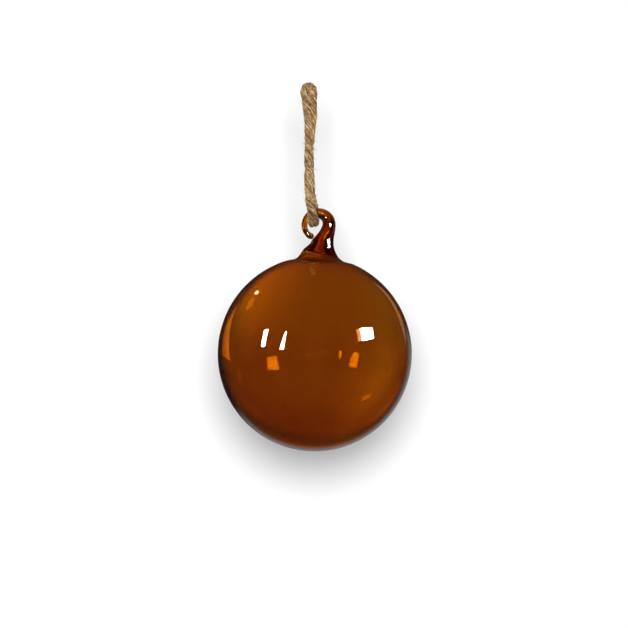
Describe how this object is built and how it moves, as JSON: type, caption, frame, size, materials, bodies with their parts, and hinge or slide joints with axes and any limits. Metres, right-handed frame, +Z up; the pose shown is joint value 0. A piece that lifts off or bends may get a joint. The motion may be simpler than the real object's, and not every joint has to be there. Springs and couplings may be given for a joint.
{
  "type": "christmas bauble",
  "caption": "Round mouth-blown christmas bauble of clear amber glass, with a twisted neck bent into an open hook, hanging from a loop of jute twine.",
  "frame": {"origin": "the hanging point, on the inside of the top of the twine loop, where a twig or a peg holds it", "axes": "+Z up, and the bauble hangs below the origin. The hook lies in the XZ plane, its eye is seen along Y, and its tip points to +X"},
  "size_m": [0.08, 0.08, 0.1523],
  "materials": {
    "amber_glass": "clear amber glass, smooth and glossy, see-through",
    "jute": "matt natural jute, two plies twisted together, hairy"
  },
  "bodies": {
    "root": {"glass_bauble": "amber_glass", "twine_loop": "jute"}
  },
  "joints": []
}
